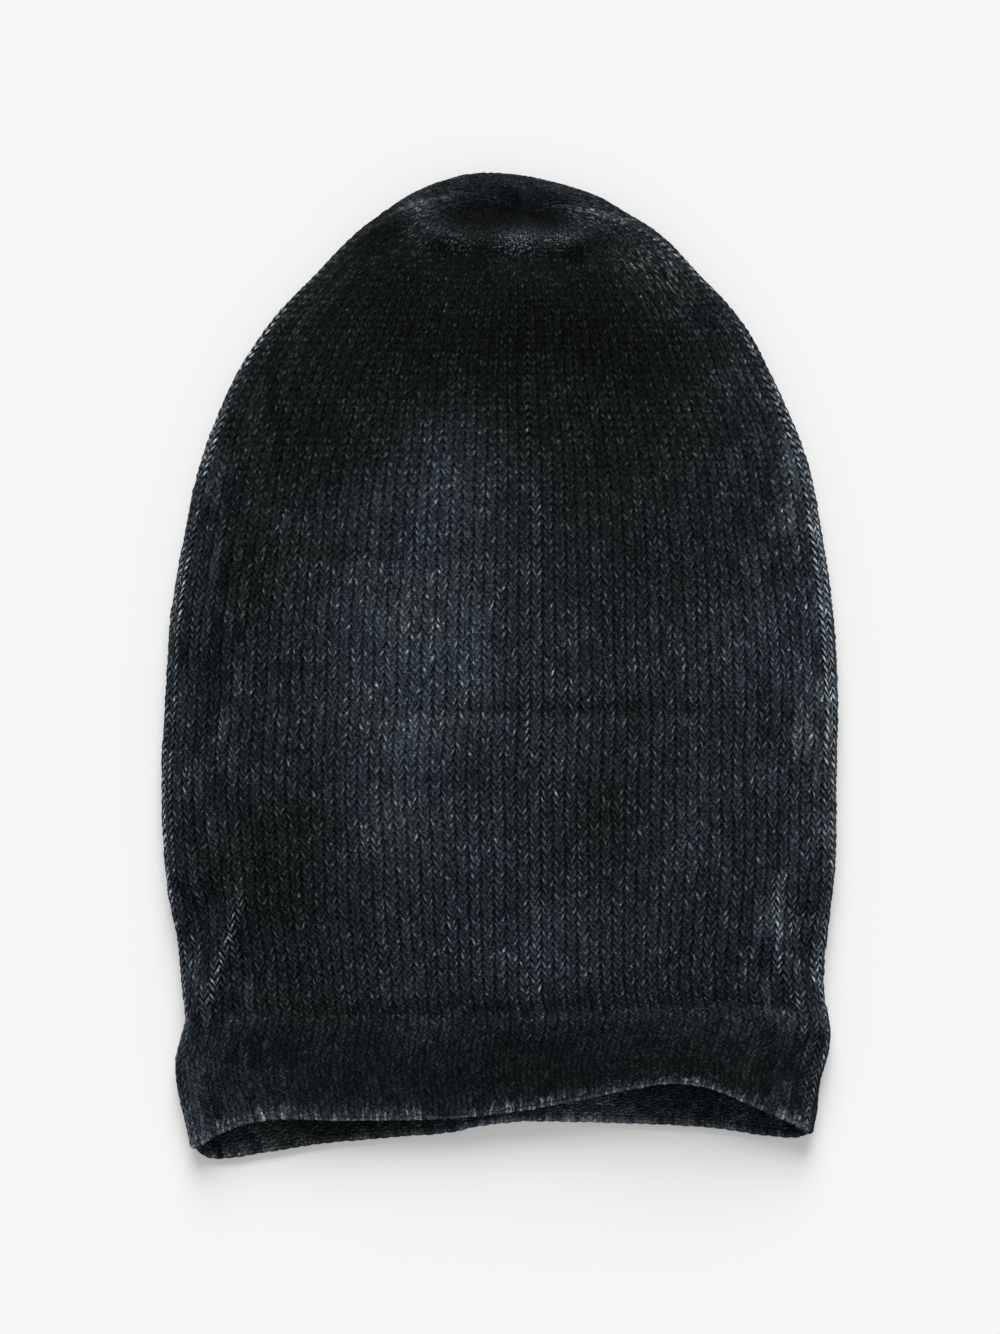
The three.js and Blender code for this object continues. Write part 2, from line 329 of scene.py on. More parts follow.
def section_points(y, left, right, height, share, front):
    """Points of the sections: share runs from -1 to 1 across them, on the front or on the back wall."""
    middle = (right - left) / 2
    half = (right + left) / 2
    x = middle + half * share
    edge = np.minimum(1, np.abs(share))
    reach = np.minimum(1, FOLD_REACH / half)
    inside = np.maximum(0, edge - (1 - reach)) / reach
    round_ = np.sqrt(np.maximum(0, 1 - inside * inside))
    into_edge = np.clip(1 - (TOP_EDGE - y) / FOLD_REACH, 0, 1)
    under = FOLD_HEIGHT * (1 - np.sqrt(1 - into_edge * into_edge))
    top = np.minimum(FOLD_TOP, height - FOLD_HEIGHT)
    puff = np.power(1 - np.power(edge, PUFF_POWER), PUFF_ROUNDING)
    dome = top * round_ + (height - FOLD_HEIGHT - top) * puff
    above = FOLD_HEIGHT + dome + along_lines(FRONT_FOLDS, x, y) * round_
    below = under + (FOLD_HEIGHT - under) * (1 - round_)
    z = np.where(front, above, below)
    frontness = ease(z - under, FRONT_STARTS * FOLD_HEIGHT, FRONT_FULL * FOLD_HEIGHT)
    back_shift = curve(BACK_RIM, "x", x, "shift")
    front_shift = curve(FRONT_RIM, "x", x, "shift")
    shift = back_shift + (front_shift - back_shift) * frontness
    bend = np.power(np.maximum(0, 1 - y / RIM_BEND_REACH), RIM_BEND_POWER)
    lift = curve(FRONT_RIM, "x", x, "lift") * ease(y, RIM_LIFT_REACH, 0) * frontness
    return np.stack([x, y + shift * bend, z + np.where(front, lift, 0)], axis=-1)


# Each section's distance from the rim along the outline
SECTION_WIDTH = (SECTIONS["left"] + SECTIONS["right"]) / 2
SECTION_STEP = np.hypot(np.diff(SECTION_WIDTH), np.diff(SECTIONS["y"]))
SECTIONS["reach"] = np.concatenate([[0], np.cumsum(SECTION_STEP)])
FULL_REACH = SECTIONS["reach"][-1]


def dense_surface():
    """The outer surface in even steps round each slice, with its normals, lengths and Y."""
    reach = np.linspace(0, FULL_REACH, SLICES)
    names = ("y", "left", "right", "height")
    parts = [curve(SECTIONS, "reach", reach, name)[:, None] for name in names]
    turn = math.asin(SEAM_SHARE) + math.tau * np.arange(TURN_STEPS + 1) / TURN_STEPS
    line = section_points(*parts, np.sin(turn)[None, :], np.cos(turn)[None, :] >= 0)
    step = np.linalg.norm(np.diff(line, axis=1), axis=2)
    length = np.concatenate([np.zeros((SLICES, 1)), np.cumsum(step, axis=1)], axis=1)
    wanted = np.arange(AROUND_STEPS) / AROUND_STEPS
    points = np.empty((SLICES, AROUND_STEPS, 3))
    for i in range(SLICES):
        share = length[i] / length[i, -1]
        for axis in range(3):
            points[i, :, axis] = np.interp(wanted, share, line[i, :, axis])
    across = np.roll(points, -NORMAL_STEPS, axis=1) - np.roll(points, NORMAL_STEPS, axis=1)
    upward = np.gradient(points, axis=0)
    normal = unit(np.cross(across, upward))
    pleats = ease(parts[0], PLEATS_START, PLEATS_FULL) * PLEAT_HEIGHT
    pleat = pleats * np.cos(math.tau * PLEATS * wanted)[None, :] * np.maximum(0, normal[:, :, 2])
    return points + normal * pleat[:, :, None], normal, length[:, -1], parts[0][:, 0]


def closed_over(points, normal, round_length, slice_y):
    """The same fields, closed from the last slice to its middle."""
    share = np.arange(1, CLOSING_SLICES + 1)[:, None, None] / CLOSING_SLICES
    middle = points[-1].mean(axis=0)
    outward = normal[-1].mean(axis=0) + (0, 1, 0)
    closing = points[-1] + (middle - points[-1]) * share
    turned = normal[-1] + (outward / np.linalg.norm(outward) - normal[-1]) * share
    shrunk = round_length[-1] * (1 - share[:, 0, 0])
    top = np.full(CLOSING_SLICES, slice_y[-1])
    fields = zip((points, normal, round_length, slice_y), (closing, turned, shrunk, top))
    return [np.concatenate(pair) for pair in fields]


POINTS, NORMALS, ROUND_LENGTH, SLICE_Y = closed_over(*dense_surface())
FULL_REACH *= (SLICES + CLOSING_SLICES - 1) / (SLICES - 1)
SLICES += CLOSING_SLICES
SLICE_REACH = np.linspace(0, FULL_REACH, SLICES)


def place_of(x, y):
    """How far round and along the outline a place of the front wall lies."""
    away = np.hypot(POINTS[:, :, 0] - x, POINTS[:, :, 1] - y) + BACK_AWAY * (NORMALS[:, :, 2] < 0)
    i, j = np.unravel_index(np.argmin(away), away.shape)
    return j / AROUND_STEPS, SLICE_REACH[i]


GATHER_AROUND, GATHER_REACH = place_of(GATHER_X, GATHER_Y)


def row_reaches():
    """The distance along the outline of each row of stitches, from the rim to the tip."""
    along = np.where(SLICE_Y < CROWN_MIX_START, SLICE_Y, CROWN_MIX * (SLICE_Y + SLICE_REACH))
    start = np.argmax(SLICE_Y >= CROWN_MIX_START)
    along[start:] += SLICE_Y[start] - along[start]
    hem = np.linspace(RIM_IN, HEM_LINE, HEM_ROWS + 1)
    crown_start = np.interp(CROWN_LINE, SLICE_Y, along)
    body = np.linspace(HEM_LINE, crown_start, BODY_ROWS + 1)
    crown = np.linspace(crown_start, along[-1], CROWN_ROWS + 1)
    return np.interp(np.concatenate([hem, body[1:], crown[1:]]), along, SLICE_REACH)


ROW_REACH = row_reaches()


def sample(field, around, reach):
    """The field at shares of the way round and distances along the outline."""
    place = np.clip(reach / FULL_REACH * (SLICES - 1), 0, SLICES - 1)
    i = np.minimum(place.astype(int), SLICES - 2)
    along = place - i
    turn = (around % 1) * AROUND_STEPS
    j = turn.astype(int) % AROUND_STEPS
    beside = turn - np.floor(turn)
    k = (j + 1) % AROUND_STEPS
    if field.ndim == 3:
        along = along[..., None]
        beside = beside[..., None]
    lower = field[i, j] * (1 - beside) + field[i, k] * beside
    upper = field[i + 1, j] * (1 - beside) + field[i + 1, k] * beside
    return lower * (1 - along) + upper * along


def unevenness(kind, a, b):
    """Smooth unevenness over two coordinates, as a few seeded waves."""
    seed, amount, lengths = kind
    random = np.random.default_rng(seed)
    total = np.zeros(np.broadcast(a, b).shape)
    for _ in range(WAVES):
        angle = random.uniform(0, math.tau)
        stretch = random.uniform(*WAVE_STRETCH)
        phase = random.uniform(0, math.tau)
        turn_a = math.tau * math.cos(angle) * stretch / lengths[0]
        turn_b = math.tau * math.sin(angle) * stretch / lengths[1]
        total += np.sin(a * turn_a + b * turn_b + phase)
    return amount * (total / WAVES * WAVE_GAIN)


def side_share(around):
    """0 in the middle of the front or the back and 1 at the side folds, and what is front."""
    middle = (RIGHT_FOLD_WALE + LEFT_FOLD_WALE - WALES) / 2 / WALES
    turn = (around - middle + 0.5) % 1 - 0.5
    away = np.abs(turn) * 4
    return np.where(away > 1, 2 - away, away), away <= 1


def from_seam(column):
    """How many wales lie between the seam and each place round."""
    return (column + WALES / 2) % WALES - WALES / 2


def row_to_reach(row, around):
    """Where a row of stitches runs, curving up towards the sides below the crown."""
    share, _ = side_share(around)
    y = np.interp(row, ROW_NUMBERS, np.interp(ROW_REACH, SLICE_REACH, SLICE_Y))
    rise = SMILE * ease(y, *SMILE_STARTS) * ease(y, *SMILE_ENDS)
    return np.interp(row, ROW_NUMBERS, ROW_REACH) + rise * (share ** 2 - SMILE_LEVEL)


def leg_of(column):
    """The number of the stack of legs that each place round belongs to."""
    return (np.ceil(np.round(column * 2, LEG_DIGITS)) - 1).astype(int) % (2 * WALES)


def staggered(column, row):
    """Rows shifted a little up and down from one stack of legs to the next, less so higher up."""
    stagger = LEG_STAGGER * (1 - UPPER_STEADIER * ease(row, *UPPER_ROWS))
    return row + stagger * np.sin(STAGGER_TURN * leg_of(column) + STAGGER_DRIFT * row)


def leg_height(column, row):
    """How proud the yarn stands, from 0 in the gaps to 1 on the crest of a leg."""
    along = np.abs(column % 1 - 0.5) * 2
    across = staggered(column, row) % 1
    half = LEG_HALF - LEG_TAPER * ease(along, LEG_TAPERS_FROM, 1)
    crest = np.sqrt(np.maximum(0, 1 - ((across - 0.5) / half) ** 2))
    ends = np.sqrt(np.maximum(0, 1 - ((along - LEG_MIDDLE) / LEG_REACH) ** 2))
    return crest * ends


def grid(wales, rows, per_wale, per_row):
    """Columns and rows of a piece's points, counted in stitches."""
    across = round((wales[1] - wales[0]) * per_wale) + 1
    up = round((rows[1] - rows[0]) * per_row) + 1
    return np.meshgrid(np.linspace(*wales, across), np.linspace(*rows, up))


def slanted(column, row):
    """Rows that follow the legs across each stitch, and lie straight at the rim and the tip."""
    width = np.interp(row, ROW_NUMBERS, np.interp(ROW_REACH, SLICE_REACH, ROUND_LENGTH)) / WALES
    slant = SLANT - SLANT_LESS * ease(row, *UPPER_ROWS)
    slant *= np.clip(width / FULL_WALE, SLANT_LEAST, 1)
    fade = ease(row, 0, SLANT_ENDS) * ease(row, ALL_ROWS, ALL_ROWS - SLANT_ENDS)
    return row + slant * (np.abs(column % 1 - 0.5) - SLANT_MEAN) * fade


def drawn_in(around, reach):
    """The crown's rows and wales, moved so that they close in on the dent."""
    start = np.interp(CROWN_LINE, SLICE_Y, SLICE_REACH)
    disc = FULL_REACH - start
    away = np.clip((FULL_REACH - reach) / disc, 0, 1)
    turn = math.tau * around
    gather_turn = math.tau * GATHER_AROUND
    eased = (1 - away) ** 2 / (2 * GATHER_EASE)
    rounded = np.where(away > 1 - GATHER_EASE, eased, 1 - away - GATHER_EASE / 2)
    pull = (FULL_REACH - GATHER_REACH) / disc * rounded / (1 - GATHER_EASE / 2)
    across = away * np.cos(turn) + pull * math.cos(gather_turn)
    upward = away * np.sin(turn) + pull * math.sin(gather_turn)
    moved_turn = np.arctan2(upward, across)
    moved_reach = FULL_REACH - np.hypot(across, upward) * disc
    in_crown = reach > start
    moved_around = moved_turn / math.tau
    return np.where(in_crown, moved_around, around), np.where(in_crown, moved_reach, reach)


def each_leg(seed, column, row, spread):
    """A number near 1 for each leg of each stitch, the same over the whole leg."""
    draw = np.random.default_rng(seed).uniform(1 - spread, 1 + spread, (2 * WALES, ALL_ROWS))
    return draw[leg_of(column), np.clip(staggered(column, row).astype(int), 0, ALL_ROWS - 1)]


def surface(around, reach):
    """Points of the smooth outer surface, and where it faces."""
    return sample(POINTS, around, reach), unit(sample(NORMALS, around, reach))


def wandering(column, row):
    """Where each place lies round and along the outline, with its rows and wales a little uneven."""
    settled = ease(row, 0, SETTLED_ROWS) * ease(row, ALL_ROWS, CROWN_FROM)
    loose_row = row + unevenness(ROW_WANDER, column, row)
    loose_row += unevenness(ROW_WOBBLE, column, row) * settled
    settled *= 1 - np.exp(-(from_seam(column) / SEAM_STRAIGHTENS) ** 2)
    loose_column = column + unevenness(WALE_WANDER, column, row) * settled
    loose_column += unevenness(WALE_WOBBLE, column, row) * settled
    around = loose_column / WALES
    reach = row_to_reach(slanted(column, loose_row), around)
    return around, np.clip(reach, RIM_IN, FULL_REACH - GATHER_HOLE)


def stitch_depth(row, up, wale_width):
    """How deep the stitches are: less in narrow wales, in the hem, and high up on the front."""
    depth = STITCH_DEPTH * np.clip(wale_width / FULL_WALE, STITCH_LEAST, 1)
    depth *= HEM_FLATTER + (1 - HEM_FLATTER) * ease(row, *HEM_TO_BODY)
    return depth * (1 - UPPER_FLATTER * ease(row, *UPPER_ROWS) * ease(up, *FLATTER_FACING))


def seam_groove(column, row, wale_width):
    """How deep the seam's groove is at each place."""
    away = from_seam(column) * wale_width / SEAM_HALF
    return SEAM_DEPTH * np.exp(-away ** 2) * ease(row, ALL_ROWS, CROWN_FROM + SEAM_FADES)


def outer_points(wales, rows, per_wale, per_row):
    """The outside with its raised stitches: points, and what the material reads."""
    column, row = grid(wales, rows, per_wale, per_row)
    around, reach = wandering(column, row)
    wale_width = np.interp(reach, SLICE_REACH, ROUND_LENGTH) / WALES
    base, normal = surface(*drawn_in(around, reach))
    up = normal[:, :, 2]
    height = leg_height(column, row)
    tight = each_leg(TIGHT_SEED, column, row, TIGHT_SPREAD)
    level = STITCH_LEVEL + (1 - STITCH_LEVEL) * ease(-up, *PRESSED_FACING)
    rise = stitch_depth(row, up, wale_width) * (height * tight - level)
    rise -= seam_groove(column, row, wale_width)
    rise = np.where(up < BACK_FACING, np.minimum(rise, 0), rise)
    rise += unevenness(SLACK, base[:, :, 0], base[:, :, 1]) * ease(up, *SLACK_FACING)
    lint = np.random.default_rng(LINT_SEED).uniform(-LINT, LINT, rise.shape)
    rise[1:-1, 1:-1] += (lint * ease(up, *LINT_FACING))[1:-1, 1:-1]
    return base + normal * rise[:, :, None], column, row, height


def inner_points(wales, rows, per_wale, per_row):
    """The inside with its purl bumps: points, and what the material reads."""
    column, row = grid(wales, rows, per_wale, per_row)
    around = column / WALES
    top = np.interp(INSIDE_TOP, SLICE_Y, SLICE_REACH)
    bend = PURL_BEND * np.sin(math.tau * column) * ease(row, 0, 1)
    base, normal = surface(around, np.clip(row_to_reach(row + bend, around), 0, top))
    ridges = 2 if per_row >= FINE_ROWS else 1
    ridge = np.abs(np.sin(ridges * math.pi * row))
    upper_half = row % 1 >= 0.5
    swing = 0.5 + 0.5 * np.cos(math.tau * (column + 0.5 * upper_half))
    height = ridge * (PURL_LEVEL + (1 - PURL_LEVEL) * swing)
    return base - normal * (WALL - PURL_SUNK + PURL_DEPTH * height)[:, :, None], column, row, height


def rim_points():
    """The bound-off edge: a chain of stitches rolled over the rim."""
    across = np.linspace(0, WALES, WALES * RIM_PER_WALE + 1)
    column, turn = np.meshgrid(across, np.linspace(0, 1, RIM_STEPS))
    around = column / WALES
    reach = np.full_like(around, RIM_IN)
    base, normal = surface(around, reach)
    below = base - sample(POINTS, around, reach + RIM_LOOK)
    below = unit(below - normal * (below * normal).sum(axis=2, keepdims=True))
    angle = math.pi * (RIM_TURN * turn - RIM_TURN_START)
    chain = (column - LINK_SLANT * (turn - 0.5)) % 1
    link = np.sqrt(np.maximum(0, 1 - ((chain - 0.5) / LINK_HALF) ** 2))
    radius = RIM_RADIUS * (LINK_THIN + LINK_THICKER * link) * (1 + unevenness(LINKS_UNEVEN, column, turn))
    pressed = ease(-normal[:, :, 2], *PRESSED_FACING)
    out = np.cos(angle) * (WALL / 2 / RIM_RADIUS) * (1 - PRESSED_THINNER * pressed) * radius
    down = np.sin(angle) * radius
    points = base - normal * (WALL / 2) + normal * out[:, :, None] + below * down[:, :, None]
    return points, column, turn, link


def with_tip(points, column, row, crest, per_row):
    """The grids of a piece of the crown, nearly closed above its last row of stitches."""
    last = points[-1]
    share = np.linspace(0, TIP_CLOSED, TIP_ROWS + 1)[1:, None, None]
    tip = last + (last.mean(axis=0) - last) * share
    above = np.arange(1, TIP_ROWS + 1)[:, None] / per_row
    more = (tip, np.repeat(column[-1:], TIP_ROWS, axis=0), row[-1:] + above,
            np.full((TIP_ROWS, crest.shape[1]), TIP_CREST))
    return [np.concatenate(pair) for pair in zip((points, column, row, crest), more)]


# The front's pale and dark washes of dye, with painted shade in the crown's dent and along a crease, and
# painted light on the dent's upper slope: a place, its spread, and how much paler it is
DYE_AND_SHADING_PATCHES = table("x y wide high pale", [
    (-16, 220, 18, 22, 0.92),
    (-30, 176, 26, 24, 0.75),
    (-32, 146, 24, 16, 0.55),
    (-10, 160, 10, 30, 0.4),
    (-34, 104, 18, 22, 0.7),
    (-26, 128, 12, 8, 0.3),
    (10, 56, 20, 9, 0.42),
    (-8, 100, 14, 15, 0.3),
    (0, 136, 14, 9, 0.2),
    (-28, 62, 20, 12, 0.2),
    (62, 104, 16, 26, 0.4),
    (76, 158, 20, 22, 0.4),
    (20, 150, 10, 40, 0.25),
    (70, 250, 14, 20, 0.1),
    (88, 60, 10, 22, 0.2),
    (103, 140, 12, 60, 0.7),
    (98, 220, 12, 34, 0.55),
    (-104, 140, 10, 60, -0.1),
    (-88, 172, 14, 22, -0.2),
    (-90, 238, 7, 14, 0.35),
    (94, 102, 6, 14, 0.3),
    (-96, 10, 10, 8, 0.15),
    (-98, 40, 8, 30, 0.35),
    (-80, 130, 26, 40, -0.02),
    (-60, 150, 14, 24, 0.15),
    (-4, 258, 95, 44, -1),
    (30, 262, 34, 20, -0.35),
    (36, 212, 24, 24, -0.25),
    (24, 243, 16, 8, 0.25),
    (50, 182, 36, 18, -0.22),
    (-62, 153, 26, 7, -0.25),
    (-70, 84, 22, 12, -0.18),
    (42, 92, 14, 10, -0.18),
    (68, 86, 8, 16, -0.2),
    (-70, 225, 24, 24, -0.35),
    (-78, 92, 22, 18, -0.5),
    (-84, 186, 14, 20, -0.35),
    (-94, 206, 5, 30, 0.5),
    (66, 60, 14, 20, -0.25),
    # Darker in the crown's dent: dark dye, and painted shade of the dent
    (4, 300.5, 20, 5, -0.85),
    (-9, 298.5, 9, 5, -0.45),
    (15, 297.5, 9, 4.5, -0.5),
    (-96.5, 63, 3.6, 12, -0.6),
    (98.7, 55, 3, 7, -0.6),
    (-8, 287, 24, 4, -0.5),
    (6, 294, 10, 5, 0.7),
    (-26, 299, 7, 10, 0.6),
    (-41, 296, 15, 8, -0.8),
    # Paler on the dent's upper slope: painted light where it faces away from the sun
    (10, 307.5, 15, 4.5, 0.65),
    (0, 296, 6, 3, -0.5),
    (5, 259, 45, 6, -0.22),
    (-40, 191, 32, 2.2, -0.32),
    (-45, 179, 26, 2, -0.22),
    # A thin dark line along the crease: painted shade in the crease
    (24, 141.5, 40, 2.4, -0.3),
    (-20, 118, 26, 2.2, -0.18),
    (-62, 34, 26, 14, -0.22),
    (12, 24, 30, 13, -0.12),
    (70, 24, 26, 12, -0.4),
    (16, 68, 40, 18, 0.48),
    (80, 60, 22, 20, 0.28),
    (-34, 277, 16, 12, -0.35),
    (3, 284, 5, 8, 0.4),
    (-40, 207, 16, 6, 0.35),
    (-30, 132, 16, 9, 0.35),
    (-60, 108, 14, 8, -0.35),
    (36, 108, 9, 9, -0.45),
    (50, 66, 10, 8, 0.25),
    (-32, 50, 11, 6, 0.6),
    (-30, 36, 12, 5, 0.2),
    (-68, 70, 10, 10, -0.3),
    (-88, 18, 7, 8, 0.15),
])

# The paler stitches along the side folds and beside the seam
FOLD_PALE = 0.6
FOLD_PALE_REACH = 3
SEAM_PALE = 0.06
SEAM_PALE_WALE = -0.8
SEAM_PALE_HALF = 0.6
SEAM_PALE_ENDS = (262, 236)

# Past which Y and which height the back wall's wales have come over the top edge to the front
DRAWN_OVER = (284, 292)
ABOVE_EDGE = (2, 6)

# Over which shares of the way to a fold the back takes the front's looks, and the knit is streaked
OVER_FOLD = (0.96, 1)
SIDES = (0.45, 0.95)

# Lines of pale dots, one in each stitch, along the slanting folds and beside the seam
DOT_LINES = table("x0 y0 x1 y1 half pale", [
    (-83.8, 79, -94.6, 46, 1.6, 2.1),
    (-84, 60, -88, 50, 1.2, 0.6),
    (88.7, 85, 89.7, 58.7, 1.3, 1.3),
    (90, 58, 96, 45, 1.4, 1.3),
    (93.5, 80, 94.5, 66, 1.1, 1),
    (98, 38, 99, 14, 1, 0.9),
    (102, 40, 102.6, 16, 1, 0.9),
    (8.8, 264, 8.8, 222, 0.6, 1.4),
    (12.4, 212, 12.6, 176, 0.6, 0.9),
    (8.8, 160, 8.8, 125, 0.6, 0.7),
    (16.6, 156, 17.9, 104, 0.7, 0.9),
    (13, 134, 14.2, 90, 0.6, 1.1),
    (12.6, 82, 12.7, 46, 0.6, 0.8),
])

# The same along the side folds: wales in from the fold, half width, and how pale above and below
FOLD_DOTS = table("wales half above below", [
    (0.45, 0.26, 1.8, 2),
    (1.25, 0.26, 2.1, 0.7),
    (2.75, 0.3, 0.4, 0.4),
])

# Over which Y the lower dots of the side folds begin, and all dots end
FOLD_DOTS_LOWER = (150, 90)
DOTS_END = (302, 290)

# The same beside the seam, from the rim to the crown
SEAM_DOTS = table("wales half pale", [
    (-0.5, 0.15, 0.5),
    (-1.17, 0.13, 0.4),
    (-3.5, 0.16, 0.35),
])
SEAM_DOTS_UPPER = 0.6
SEAM_DOTS_LOWER = (160, 100)
SEAM_DOTS_END = (285, 255)

# The washes of the back wall, seen from inside at the mouth
BACK_WASHES = table("x y wide high pale", [
    (30, 8, 16, 7, 1),
    (12, 6, 14, 5, 0.4),
    (0, 4, 12, 5, 0.8),
    (-60, 0, 30, 9, -0.35),
])

# How bright the tufts on the rim are on the front and on the back, where across the rim they sit,
# and how bright and how many rows high they are on the hem beside it
TUFT_FRONT = 3.1
TUFT_BACK = 1.2
TUFT_TURN = 0.22
TUFT_HALF = 0.2
RIM_FROST = 2.3
RIM_FROST_ROWS = 1.7

# Where the front is frosted with light tufts: a place, its spread, and how bright
FROSTS = table("x y wide high pale", [
    (0, 150, 300, 300, 0.4),
    (6, 290.5, 9, 4.5, 2.8),
    (-14, 291, 7, 4, 2.6),
    (-28, 298, 9, 12, 1.4),
    (-13, 313, 2, 2, 1.4),
    (20, 292, 6, 4, 2.1),
    (27, 302, 7, 6, 2),
    (39, 299, 8, 4, 1.9),
    (44, 287, 12, 9, 1.3),
    (54, 277, 12, 12, 1.7),
    (76, 252, 10, 18, 0.6),
])


def patches(rows, x, y):
    """The sum of the soft patches of a table at the points x, y."""
    total = np.zeros(x.shape)
    for px, py, wide, high, pale in zip(*rows.values()):
        total += pale * np.exp(-((x - px) / wide) ** 2 - ((y - py) / high) ** 2)
    return total


def frontness(points, column):
    """1 on the front wall and on what the dent has drawn over the top edge, and 0 on the back wall."""
    share, front = side_share(column / WALES)
    drawn_over = ease(points[..., 1], *DRAWN_OVER) * ease(points[..., 2], *ABOVE_EDGE)
    return np.where(front, 1, np.maximum(ease(share, *OVER_FOLD), drawn_over))


def dye_and_shading_paleness(points, column):
    """How pale the dye is at each point, with the painted shade and light of a few patches: 0 where it is
    plain.
    """
    x = points[..., 0]
    y = points[..., 1]
    share, front = side_share(column / WALES)
    total = patches(DYE_AND_SHADING_PATCHES, x, y) * frontness(points, column)
    total += np.where(front, 0, patches(BACK_WASHES, x, y))
    from_fold = (1 - share) * np.interp(y, SECTIONS["y"], SECTION_WIDTH)
    total += FOLD_PALE * np.exp(-(from_fold / FOLD_PALE_REACH) ** 2)
    beside_seam = (from_seam(column) - SEAM_PALE_WALE) / SEAM_PALE_HALF
    total += SEAM_PALE * np.exp(-beside_seam ** 2) * ease(y, *SEAM_PALE_ENDS)
    return total


def dots(points, column):
    """How pale the dots in the stitches are at each point of the front."""
    x = points[..., 0]
    y = points[..., 1]
    share, front = side_share(column / WALES)
    from_fold = (1 - share) * WALES / 4
    lower = ease(y, *FOLD_DOTS_LOWER)
    total = np.zeros(x.shape)
    for wales, half, above, below in zip(*FOLD_DOTS.values()):
        total += (above + (below - above) * lower) * np.exp(-((from_fold - wales) / half) ** 2)
    along_seam = SEAM_DOTS_UPPER + (1 - SEAM_DOTS_UPPER) * ease(y, *SEAM_DOTS_LOWER)
    along_seam *= ease(y, *SEAM_DOTS_END)
    for wales, half, pale in zip(*SEAM_DOTS.values()):
        total += pale * along_seam * np.exp(-((from_seam(column) - wales) / half) ** 2)
    total *= (1 + unevenness(DOTS_UNEVEN, x, y)) * ease(y, *DOTS_END)
    return np.where(front, total + along_lines(DOT_LINES, x, y), 0)


def frost(points, column, row):
    """How bright the tufts of lint are at each point of the outside."""
    along_rim = RIM_FROST * np.exp(-(row / RIM_FROST_ROWS) ** 2)
    total = patches(FROSTS, points[..., 0], points[..., 1])
    total += along_rim * (1 + unevenness(FROST_UNEVEN, column, row))
    return total * frontness(points, column)


def rim_tufts(column, turn):
    """How bright the tufts of lint are on the bound-off edge."""
    on_front = side_share(column / WALES)[1]
    bright = np.where(on_front, TUFT_FRONT, TUFT_BACK)
    middle = np.where(on_front, TUFT_TURN, 1 - TUFT_TURN)
    return bright * np.exp(-((turn - middle) / TUFT_HALF) ** 2)


def add_float(mesh, name, values):
    attribute = mesh.attributes.new(name, "FLOAT", "POINT")
    attribute.data.foreach_set("value", values.astype(np.float32).ravel())


def add_uv(mesh, name, across, up):
    layer = mesh.uv_layers.new(name=name)
    corners = np.empty(len(mesh.loops), np.int32)
    mesh.loops.foreach_get("vertex_index", corners)
    uv = np.stack([across.ravel()[corners], up.ravel()[corners]], axis=1)
    layer.data.foreach_set("uv", uv.astype(np.float32).ravel())


def quads(rows, columns, flipped):
    """The faces of a grid of points, wound so that they look outwards."""
    i = np.arange(rows * columns).reshape(rows, columns)
    corners = [i[:-1, :-1], i[:-1, 1:], i[1:, 1:], i[1:, :-1]]
    if flipped:
        corners.reverse()
    return np.stack([c.ravel() for c in corners], axis=1)


def add_object(name, data):
    made = bpy.data.objects.new(name, data)
    bpy.context.scene.collection.objects.link(made)
    return made


def new_material(name, finish):
    """A material and its shader, with the values that are the same all over."""
    material = bpy.data.materials.new(name)
    material.use_nodes = True
    shader = material.node_tree.nodes["Principled BSDF"]
    for socket, value in finish.items():
        shader.inputs[socket].default_value = value
    return material, shader


def knit_mesh(name, points, column, row, crest, material, flipped=False):
    """A piece of knit from a grid of points in the tables' millimetres."""
    height, width = column.shape
    placed = (points + SHIFT) * MM
    mesh = bpy.data.meshes.new(name)
    mesh.from_pydata(placed.reshape(-1, 3), [], quads(height, width, flipped))
    mesh.update()
    mesh.polygons.foreach_set("use_smooth", np.ones(len(mesh.polygons), bool))
    add_float(mesh, "dye_and_shading", dye_and_shading_paleness(points, column))
    add_float(mesh, "dots", dots(points, column))
    add_float(mesh, "crest", crest)
    add_float(mesh, "side", ease(side_share(column / WALES)[0], *SIDES))
    add_uv(mesh, "knit", column, row)
    spread = [np.linspace(BAKE_MARGIN, 1 - BAKE_MARGIN, count) for count in (width, height)]
    add_uv(mesh, "OFBake", *np.meshgrid(*spread))
    mesh.materials.append(material)
    return add_object(name, mesh)


def dress(piece, node):
    """The piece rides on the hat and stands for its CAD node."""
    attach(piece, "root")
    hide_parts(node)


